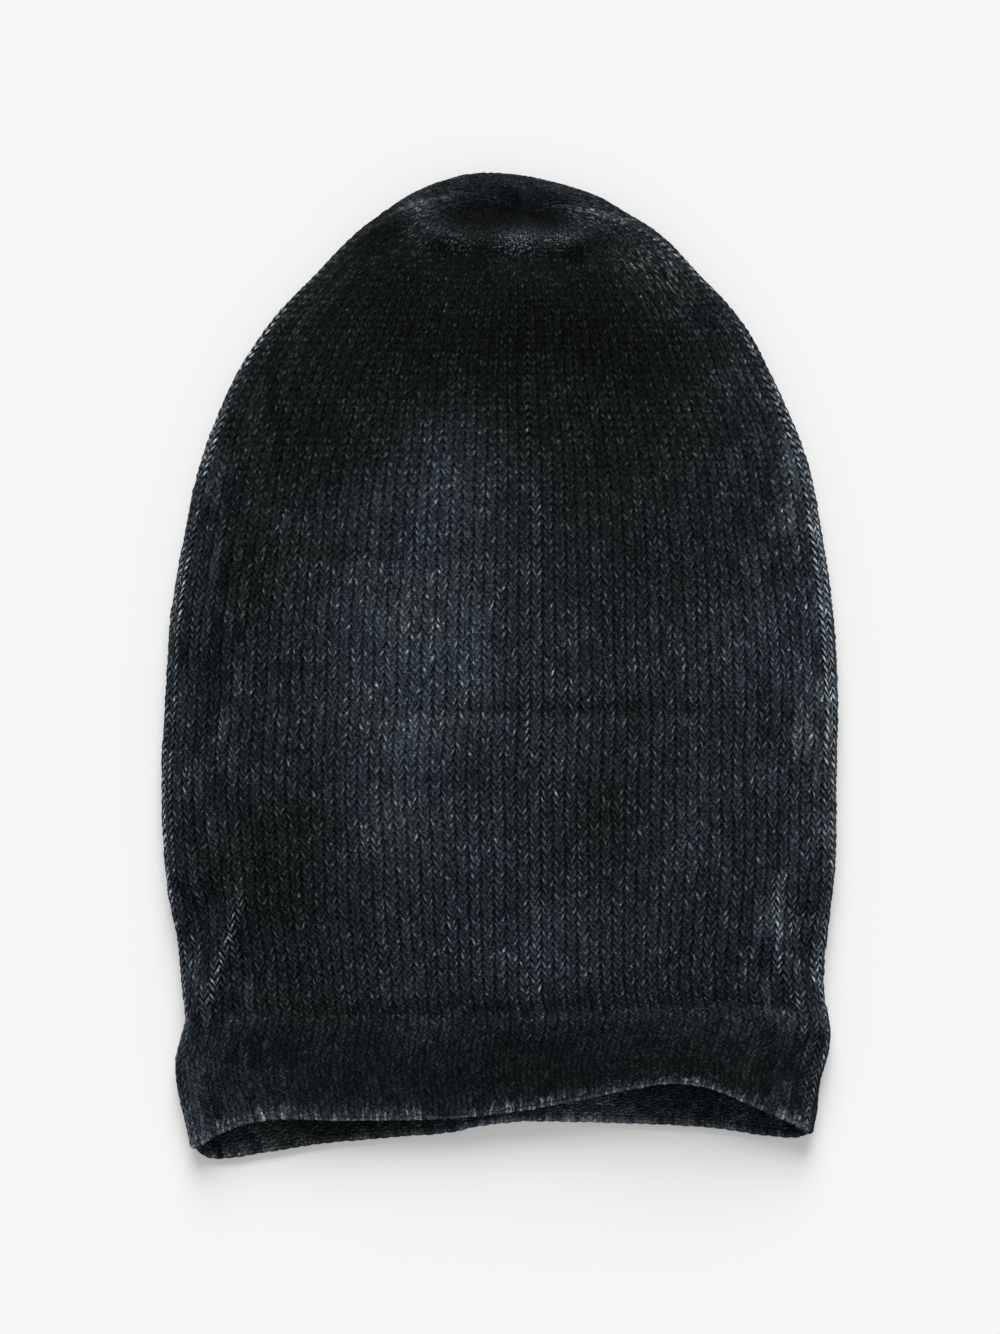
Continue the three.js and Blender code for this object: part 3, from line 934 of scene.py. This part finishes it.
class Nodes:
    """Adds shader nodes to a material, and links what is handed in as a node's output."""

    def __init__(self, material):
        self.tree = material.node_tree

    def add(self, kind, inputs=(), **settings):
        made = self.tree.nodes.new("ShaderNode" + kind)
        for name, value in settings.items():
            setattr(made, name, value)
        for key, value in dict(inputs).items():
            if isinstance(value, bpy.types.NodeSocket):
                self.tree.links.new(value, made.inputs[key])
            else:
                made.inputs[key].default_value = value
        return made

    def math(self, operation, *values):
        return self.add("Math", dict(enumerate(values)), operation=operation).outputs[0]

    def mix(self, share, low, high):
        return self.add("Mix", {0: share, 6: low, 7: high}, data_type="RGBA").outputs[2]

    def ramp(self, value, low, high, to_low=0, to_high=1):
        inputs = {"Value": value, "From Min": low, "From Max": high, "To Min": to_low, "To Max": to_high}
        return self.add("MapRange", inputs, clamp=True, interpolation_type="SMOOTHSTEP").outputs[0]

    def times(self, a, b):
        return self.math("MULTIPLY", a, b)

    def times_plus(self, a, b, c):
        return self.math("MULTIPLY_ADD", a, b, c)

    def place(self, x, y, z):
        return self.add("CombineXYZ", {"X": x, "Y": y, "Z": z}).outputs[0]

    def attribute(self, name):
        return self.add("Attribute", attribute_name=name).outputs["Fac"]

    def noise(self, place, scale=1, detail=2, roughness=0.5, output="Fac"):
        inputs = {"Vector": place, "Scale": scale, "Detail": detail, "Roughness": roughness}
        return self.add("TexNoise", inputs).outputs[output]

    def around_zero(self, value):
        return self.math("SUBTRACT", value, 0.5)

    def from_half(self, value):
        """How far the fraction of a value lies from a half."""
        return self.math("ABSOLUTE", self.around_zero(self.math("FRACT", value)))


# The yarn's tints where the dye is dark, in grey and in blue washes, and where pale lint shows
DARK_TINT = (0.83, 1, 0.99, 1)
GREY_TINT = (0.79, 1, 1.15, 1)
BLUE_TINT = (0.74, 0.98, 1.3, 1)
LINT_TINT = (0.9, 1, 1.08, 1)

# How bright the yarn is on the outside, the purl side and the bound-off edge, and at most
OUTSIDE_SHADE = 0.0124
PURL_SHADE = 0.04
EDGE_SHADE = 0.024
BRIGHTEST = 0.45

# Over which noise blue replaces grey, over which dye the hues show, and over which brightness the lint
BLUE_FROM = (0.38, 0.62)
HUES_SHOW = (-0.5, 0.5, 0.25, 0.95)
LINT_SHOWS = (0.05, 0.3)

# Painted shade in the gaps, wale lines, middles and holes of the stitches, with the pale dots' shape, by
# the distance from each mark of a stitch: two distances and the paleness at each
SHADE_BY_GAP = (0.02, 0.3, -0.4, 0.1)
SHADE_BY_WALE = (0.02, 0.23, -0.6, 0.15)
SHADE_BY_MIDDLE = (0, 0.2, -0.2, 0.15)
SHADE_BY_HOLE = (0.4, 1.3, -0.6, 0)
BY_DOT = (0.1, 0.4, -0.4, 1)
SHADE_BY_SMALL_WALE = (0.2, 0.48, 0.15, -0.45)
SHADE_BY_SMALL_GAP = (0.2, 0.48, 0.15, -0.5)

# The same for the painted shade below the crests, by how proud the yarn stands, on the purl side and the
# bound-off edge
SHADE_BY_CREST = (0.15, 0.8, -0.9, 0.1)

# The half size of the holes' painted shade, in stitches
HOLE_WIDE = 0.22
HOLE_HIGH = 0.32

# How the pattern of the legs is bent, as an amount and a noise
LEG_WARP = 0.5
LEG_WARP_SCALE = 0.8

# How much fainter the legs' pattern, mostly painted shade, is in the upper body, the hem and the crown
UPPER_GAP = 0.6
UPPER_WALES = 0.6
HEM_CONTRAST = 0.22
HEM_LATTICE = 0.8
CROWN_CONTRAST = 0.35
TO_CROWN = (CROWN_FROM - 6, CROWN_FROM + 2)

# A few legs stand out pale: past which random number, how pale, and how wide
GLINT_RARE = 0.45
GLINT = 1.3
GLINT_HALF = 0.36

# The yarn's unevenness: fibres, specks, legs, streaks up a wale and clouds, and where it is less
FIBRE = 2.9
SPECK = 4.1
LEG_UNEVEN = (0.7, 0.4)
INSIDE_LEG_UNEVEN = 1.1
STREAKS = 0.9
SIDE_STREAKS = 2.6
CLOUDS = 0.65
HEM_NOISE = 0.8
UPPER_NOISE = 0.95
CROWN_STREAKS = 0.9
STREAKS_TO_CROWN = (CROWN_FROM - 16, CROWN_FROM)

# The scales of the noises: by column and row, or by the place on the piece
FIBRE_COLUMNS = 6
FIBRE_ROWS = 2.4
FIBRE_LEGS = 40
STREAK_COLUMNS = 5.37
STREAK_ROWS = 0.14
SPECK_SCALE = 1400
CLOUD_SCALE = 70
HUE_SCALE = 38
HUE_SHIFT = (0.7, 0.3, 0.1)

# Each noise has its own layer
LEG_LAYER = 3
WARP_LAYER = 5
STREAK_LAYER = 8
TUFT_LAYER = 11

# The lint's noise: its scale, its run in the crown, its cut, and the least lint by row
TUFT_COLUMNS = 2.4
TUFT_ROWS = 0.5
TUFT_CROWN = (CROWN_FROM - 2, ALL_ROWS, 0, 14)
TUFT_CUT = (0.48, 0.62)
TUFT_LEAST = (0, 3, 0.42, 0.12)

# The twist of the plies and its relief
TWIST_ROWS = 9
TWIST_COLUMNS = 34
TWIST_RELIEF = 0.5
FIBRE_RELIEF = 1.6
BUMP_STRENGTH = 0.55
BUMP_DISTANCE = 0.00022

# The yarn's finish
YARN_FINISH = {
    "Roughness": 0.95,
    "Specular IOR Level": 0.02,
    "Sheen Weight": 0.02,
    "Sheen Roughness": 0.5,
    "Sheen Tint": (0.62, 0.68, 0.78, 1),
}


def staggered_row(nodes, legs, row):
    """The rows as the mesh staggers them, from the number of the stack of legs."""
    turn = nodes.times_plus(row, STAGGER_DRIFT, nodes.times(legs, STAGGER_TURN))
    stagger = nodes.ramp(row, *UPPER_ROWS, LEG_STAGGER, LEG_STAGGER * (1 - UPPER_STEADIER))
    return nodes.times_plus(nodes.math("SINE", turn), stagger, row)


def warped(nodes, column, row):
    """The column and the row, bent a little so that the legs aren't too even."""
    noise = nodes.noise(nodes.place(column, row, WARP_LAYER), LEG_WARP_SCALE, detail=1, output="Color")
    bend = nodes.add("VectorMath", {0: noise, 1: (0.5, 0.5, 0.5)}, operation="SUBTRACT").outputs[0]
    bends = nodes.add("SeparateXYZ", {"Vector": bend}).outputs
    return [nodes.times_plus(bends[i], LEG_WARP, value) for i, value in enumerate((column, row))]


def fine_lattice_shade(nodes, column, row):
    """Painted shade in the lines between the hem's tighter stitches, at half the size of the others."""
    by_wale = nodes.ramp(nodes.from_half(nodes.times(column, 2)), *SHADE_BY_SMALL_WALE)
    by_gap = nodes.ramp(nodes.from_half(nodes.times(row, 2)), *SHADE_BY_SMALL_GAP)
    return nodes.math("ADD", by_wale, by_gap)


def gap_shade(nodes, row, to_wale, to_gap, from_middle):
    """Painted shade in the lines between the legs, and in the holes where they meet."""
    rows = nodes.times(nodes.ramp(to_gap, *SHADE_BY_GAP), nodes.ramp(row, *UPPER_ROWS, 1, UPPER_GAP))
    wales = nodes.math("ADD", nodes.ramp(to_wale, *SHADE_BY_WALE), nodes.ramp(from_middle, *SHADE_BY_MIDDLE))
    lines = nodes.times_plus(wales, nodes.ramp(row, *UPPER_ROWS, 1, UPPER_WALES), rows)
    wide = nodes.math("POWER", nodes.math("DIVIDE", to_wale, HOLE_WIDE), 2)
    high = nodes.math("POWER", nodes.math("DIVIDE", to_gap, HOLE_HIGH), 2)
    from_hole = nodes.math("SQRT", nodes.math("ADD", wide, high))
    return nodes.math("ADD", lines, nodes.ramp(from_hole, *SHADE_BY_HOLE))


def leg_shade(nodes, column, row, leg):
    """Painted shade in the gaps and holes between the legs, fainter in the hem, and how pale their dots.
    """
    column, row = warped(nodes, column, row)
    from_middle = nodes.from_half(column)
    to_wale = nodes.math("SUBTRACT", 0.5, from_middle)
    across = nodes.math("FRACT", row)
    to_gap = nodes.math("MINIMUM", across, nodes.math("SUBTRACT", 1, across))
    above_hem = nodes.ramp(row, *HEM_TO_BODY, HEM_CONTRAST, 1)
    strength = nodes.times(above_hem, nodes.ramp(row, *TO_CROWN, 1, CROWN_CONTRAST))
    shaded = nodes.times(gap_shade(nodes, row, to_wale, to_gap, from_middle), strength)
    in_hem = nodes.ramp(row, *HEM_TO_BODY, HEM_LATTICE, 0)
    shaded = nodes.times_plus(fine_lattice_shade(nodes, column, row), in_hem, shaded)
    from_leg = nodes.from_half(nodes.times(column, 2))
    on_leg = nodes.times(nodes.ramp(from_leg, 0, GLINT_HALF, 1, 0), above_hem)
    glint = nodes.times(nodes.ramp(leg, GLINT_RARE, 1, 0, GLINT), on_leg)
    dot = nodes.ramp(to_gap, *BY_DOT)
    return nodes.times_plus(nodes.math("ADD", nodes.attribute("dots"), glint), dot, shaded)


def tufts(nodes, column, row):
    """How much of the lint each place shows, from 0 between the tufts to 1 on them."""
    up = nodes.times_plus(row, TUFT_ROWS, nodes.ramp(row, *TUFT_CROWN))
    place = nodes.place(nodes.times(column, TUFT_COLUMNS), up, TUFT_LAYER)
    share = nodes.ramp(nodes.noise(place), *TUFT_CUT)
    return nodes.math("MAXIMUM", share, nodes.ramp(row, *TUFT_LEAST))


def tinted(nodes, place, dye_and_shading, brightness):
    """The yarn's colour: dark dye is plain, pale dye is grey or blue, and the palest lint is whiter."""
    hue_place = nodes.add("VectorMath", {0: place, 1: HUE_SHIFT}, operation="ADD").outputs[0]
    hue = nodes.noise(hue_place, HUE_SCALE, detail=4)
    hued = nodes.mix(nodes.ramp(hue, *BLUE_FROM), GREY_TINT, BLUE_TINT)
    tint = nodes.mix(nodes.ramp(dye_and_shading, *HUES_SHOW), DARK_TINT, hued)
    tint = nodes.mix(nodes.ramp(brightness, *LINT_SHOWS), tint, LINT_TINT)
    return nodes.add("VectorMath", {0: tint, "Scale": brightness}, operation="SCALE").outputs[0]


def twisted(nodes, column, row, fibre):
    """The relief of the plies, which run slantwise over each leg, with loose fibres on top."""
    turn = nodes.times_plus(row, TWIST_ROWS, nodes.times(column, TWIST_COLUMNS))
    fibres = nodes.times(fibre, FIBRE_RELIEF)
    relief = nodes.times_plus(nodes.math("SINE", turn), TWIST_RELIEF, fibres)
    inputs = {"Strength": BUMP_STRENGTH, "Distance": BUMP_DISTANCE, "Height": relief}
    return nodes.add("Bump", inputs).outputs[0]


def knit_material(name, shade, legs_shown=False):
    """Washed cotton yarn: dark dye with paler washes and a few patches of painted shade and light, dots
    and lint, painted shade in the gaps, and twist.
    """
    material, shader = new_material(name, YARN_FINISH)
    nodes = Nodes(material)
    stitch = nodes.add("SeparateXYZ", {"Vector": nodes.add("UVMap", uv_map="knit").outputs[0]}).outputs
    column = stitch[0]
    row = stitch[1]
    legs = nodes.math("FLOOR", nodes.times(column, 2))
    if legs_shown:
        row = staggered_row(nodes, legs, row)

    # A random number for each leg, a slower one up its wale, and noises along the yarn and over the piece
    leg_place = nodes.place(legs, nodes.math("FLOOR", row), LEG_LAYER)
    leg = nodes.add("TexWhiteNoise", {"Vector": leg_place}, noise_dimensions="3D").outputs["Value"]
    streak_place = nodes.place(nodes.times(nodes.math("FLOOR", column), STREAK_COLUMNS),
                               nodes.times(row, STREAK_ROWS), STREAK_LAYER)
    streak = nodes.noise(streak_place)
    fibre_place = nodes.place(nodes.times(column, FIBRE_COLUMNS),
                              nodes.times(row, FIBRE_ROWS), nodes.times(leg, FIBRE_LEGS))
    fibre = nodes.noise(fibre_place, detail=2.5)
    place = nodes.add("TexCoord").outputs["Object"]
    speck = nodes.noise(place, SPECK_SCALE, detail=1.5)
    cloud = nodes.noise(place, CLOUD_SCALE, detail=4, roughness=0.6)

    # How strong each of them is, and the painted shade: between the legs on the outside, below the crests
    # on the purl side and the edge
    fine = 1
    streaked = nodes.times_plus(nodes.attribute("side"), SIDE_STREAKS, STREAKS)
    leg_uneven = INSIDE_LEG_UNEVEN
    if legs_shown:
        fine = nodes.times(nodes.ramp(row, *HEM_TO_BODY, HEM_NOISE, 1),
                          nodes.ramp(row, *UPPER_ROWS, 1, UPPER_NOISE))
        streaked = nodes.times(streaked, nodes.ramp(row, *STREAKS_TO_CROWN, 1, CROWN_STREAKS))
        leg_uneven = nodes.ramp(row, *HEM_TO_BODY, *LEG_UNEVEN)
        shaded = leg_shade(nodes, column, row, leg)
    else:
        shaded = nodes.ramp(nodes.attribute("crest"), *SHADE_BY_CREST)

    # How pale each place is, painted shade included, in steps that multiply
    dye_and_shading = nodes.attribute("dye_and_shading")
    specks = nodes.times(nodes.around_zero(speck), SPECK)
    pale = nodes.times_plus(nodes.times_plus(nodes.around_zero(fibre), FIBRE, specks), fine, dye_and_shading)
    for noise, amount in ((leg, leg_uneven), (streak, streaked), (cloud, CLOUDS)):
        pale = nodes.times_plus(nodes.around_zero(noise), amount, pale)
    pale = nodes.math("ADD", pale, shaded)
    pale = nodes.times_plus(tufts(nodes, column, row), nodes.attribute("tuft"), pale)
    brightness = nodes.times(nodes.math("EXPONENT", pale), shade)
    brightness = nodes.math("MINIMUM", brightness, BRIGHTEST)
    nodes.tree.links.new(tinted(nodes, place, dye_and_shading, brightness), shader.inputs["Base Color"])
    nodes.tree.links.new(twisted(nodes, column, row, fibre), shader.inputs["Normal"])
    return material


# The pieces: name, node, slot, wales, rows, and points a wale and a row
ALL_ROUND = (0, WALES)
HEM = (0, HEM_ROWS)
BODY = (HEM_ROWS, CROWN_FROM)
OUTSIDES = [
    ("hem_outside", "hem_band", "hem_knit", ALL_ROUND, HEM, 6, 4),
    ("body_front_right", "knit_body", "body_knit", (0, RIGHT_FOLD_WALE), BODY, 6, 4),
    ("body_back", "knit_body", "body_knit", (RIGHT_FOLD_WALE, LEFT_FOLD_WALE), BODY, 4, 4),
    ("body_front_left", "knit_body", "body_knit", (LEFT_FOLD_WALE, WALES), BODY, 6, 4),
    ("crown_outside", "crown_gather", "crown_knit", ALL_ROUND, (CROWN_FROM, ALL_ROWS), 6, 4),
]
INSIDE_ROWS = int(np.interp(np.interp(INSIDE_TOP, SLICE_Y, SLICE_REACH), ROW_REACH, ROW_NUMBERS))
INSIDES = [
    ("hem_inside", "hem_band", "hem_knit", ALL_ROUND, HEM, 4, 4),
    ("body_inside", "knit_body", "body_knit", ALL_ROUND, BODY, 3, 2),
    ("crown_inside", "crown_gather", "crown_knit", ALL_ROUND, (CROWN_FROM, INSIDE_ROWS), 3, 2),
]


def build_wall(pieces, shape, material, frosted):
    """The outside or the inside of the knit, of which only the outside has tufts."""
    for name, node, slot, wales, rows, per_wale, per_row in pieces:
        grids = shape(wales, rows, per_wale, per_row)
        if node == "crown_gather":
            grids = with_tip(*grids, per_row)
        piece = knit_mesh(name, *grids, material, flipped=not frosted)
        if frosted:
            add_float(piece.data, "tuft", frost(*grids[:3]))
        dress(piece, node)


def build_rim(material):
    """The bound-off edge, with its tufts."""
    points, column, turn, link = rim_points()
    rim_edge = knit_mesh("rim_edge", points, column, turn, link, material, flipped=True)
    add_float(rim_edge.data, "tuft", rim_tufts(column, turn))
    dress(rim_edge, "hem_band")


# The floor is pale and glows a little, to keep the shadow beside the hat faint
FLOOR_HALF = 40
FLOOR_DROP = 0.0003
FLOOR_FINISH = {
    "Base Color": (0.6, 0.6, 0.6, 1),
    "Emission Color": (1, 1, 1, 1),
    "Emission Strength": 0.23,
    "Roughness": 0.9,
    "Specular IOR Level": 0,
}

# Soft light from above the crown, with a pale surround
SURROUND = 0.42
SUN_STRENGTH = 5
SUN_WIDTH = 38
SUN_TILT = -62

# The camera looks straight down, as the photograph does
CAMERA_AWAY = 1.3
CAMERA_Y = -0.0007
PHOTO_ROWS = 1334
MM_PER_ROW = 0.326
SENSOR = 36
NEAR = 0.05
FAR = 100


def build_floor():
    mesh = bpy.data.meshes.new("floor")
    corners = [(x * FLOOR_HALF, y * FLOOR_HALF, 0) for x, y in ((-1, -1), (1, -1), (1, 1), (-1, 1))]
    mesh.from_pydata(corners, [], [(0, 1, 2, 3)])
    mesh.materials.append(new_material("pale_floor", FLOOR_FINISH)[0])
    floor = add_object("floor", mesh)
    floor.location.z = -FLOOR_DROP


def light_scene():
    world = bpy.data.worlds.new("surround")
    world.use_nodes = True
    background = world.node_tree.nodes["Background"]
    background.inputs["Color"].default_value = (1, 1, 1, 1)
    background.inputs["Strength"].default_value = SURROUND
    bpy.context.scene.world = world
    sun = bpy.data.lights.new("key_light", "SUN")
    sun.energy = SUN_STRENGTH
    sun.angle = math.radians(SUN_WIDTH)
    key = add_object("key_light", sun)
    key.location = (0, 1, 1)
    key.rotation_euler = (math.radians(SUN_TILT), 0, 0)


def place_camera():
    data = bpy.data.cameras.new("camera")
    data.sensor_width = SENSOR
    data.lens = SENSOR * CAMERA_AWAY / (PHOTO_ROWS * MM_PER_ROW * MM)
    data.clip_start = NEAR
    data.clip_end = FAR
    camera = add_object("camera", data)
    camera.location = (0, CAMERA_Y, CAMERA_AWAY + FOLD_HEIGHT * MM)
    bpy.context.scene.camera = camera
    bpy.context.scene.view_settings.view_transform = "Standard"


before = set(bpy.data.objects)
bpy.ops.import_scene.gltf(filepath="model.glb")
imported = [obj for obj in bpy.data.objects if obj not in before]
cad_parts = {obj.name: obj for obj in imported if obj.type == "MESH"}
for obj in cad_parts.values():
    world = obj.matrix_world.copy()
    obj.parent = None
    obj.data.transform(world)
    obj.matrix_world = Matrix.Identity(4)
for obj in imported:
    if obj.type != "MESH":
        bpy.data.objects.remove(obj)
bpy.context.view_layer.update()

KNIT = knit_material("washed_knit", OUTSIDE_SHADE, legs_shown=True)
build_wall(OUTSIDES, outer_points, KNIT, frosted=True)
build_wall(INSIDES, inner_points, knit_material("washed_purl", PURL_SHADE), frosted=False)
build_rim(knit_material("washed_edge", EDGE_SHADE))
build_floor()
light_scene()
place_camera()
